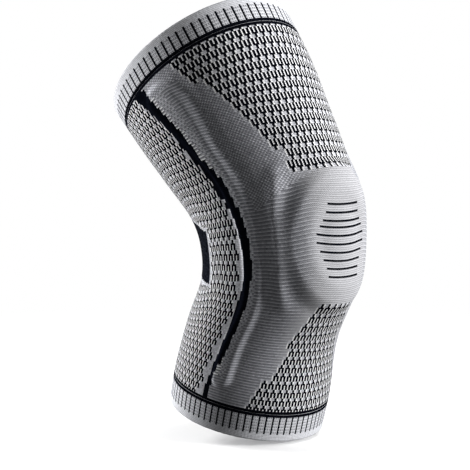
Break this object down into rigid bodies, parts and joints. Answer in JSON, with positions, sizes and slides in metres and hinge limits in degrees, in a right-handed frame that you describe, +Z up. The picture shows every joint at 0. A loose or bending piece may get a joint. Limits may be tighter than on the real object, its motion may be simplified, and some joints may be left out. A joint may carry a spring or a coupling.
{
  "type": "knee sleeve",
  "caption": "Knitted compression knee sleeve in its worn, bent form, with ribbed cuffs, a gel ring round the kneecap and a flat spring stay down each side.",
  "frame": {"origin": "middle of the leg's axis at the knee, where the leg holds the sleeve", "axes": "+Z up along the leg from calf to thigh, -Y the front of the knee, X across, the sleeve is symmetric across X = 0"},
  "size_m": [0.1538, 0.2268, 0.3383],
  "materials": {
    "body_knit": "fine grey elastic knit with charted black figures",
    "cuff_knit": "light grey elastic rib with black ticks",
    "pocket_knit": "plain dark grey knit",
    "gel": "translucent white silicone gel",
    "stay_plastic": "translucent white nylon",
    "spring_steel": "woven flat spring wire"
  },
  "bodies": {
    "root": {"knit_body": "body_knit", "calf_cuff": "cuff_knit", "thigh_cuff": "cuff_knit", "patella_ring": "gel", "patella_pocket": "pocket_knit", "left_stay_loop": "stay_plastic", "left_stay_spring": "spring_steel", "left_stay_tip": "stay_plastic", "left_stay_pocket": "pocket_knit", "right_stay_loop": "stay_plastic", "right_stay_spring": "spring_steel", "right_stay_tip": "stay_plastic", "right_stay_pocket": "pocket_knit"}
  },
  "joints": []
}
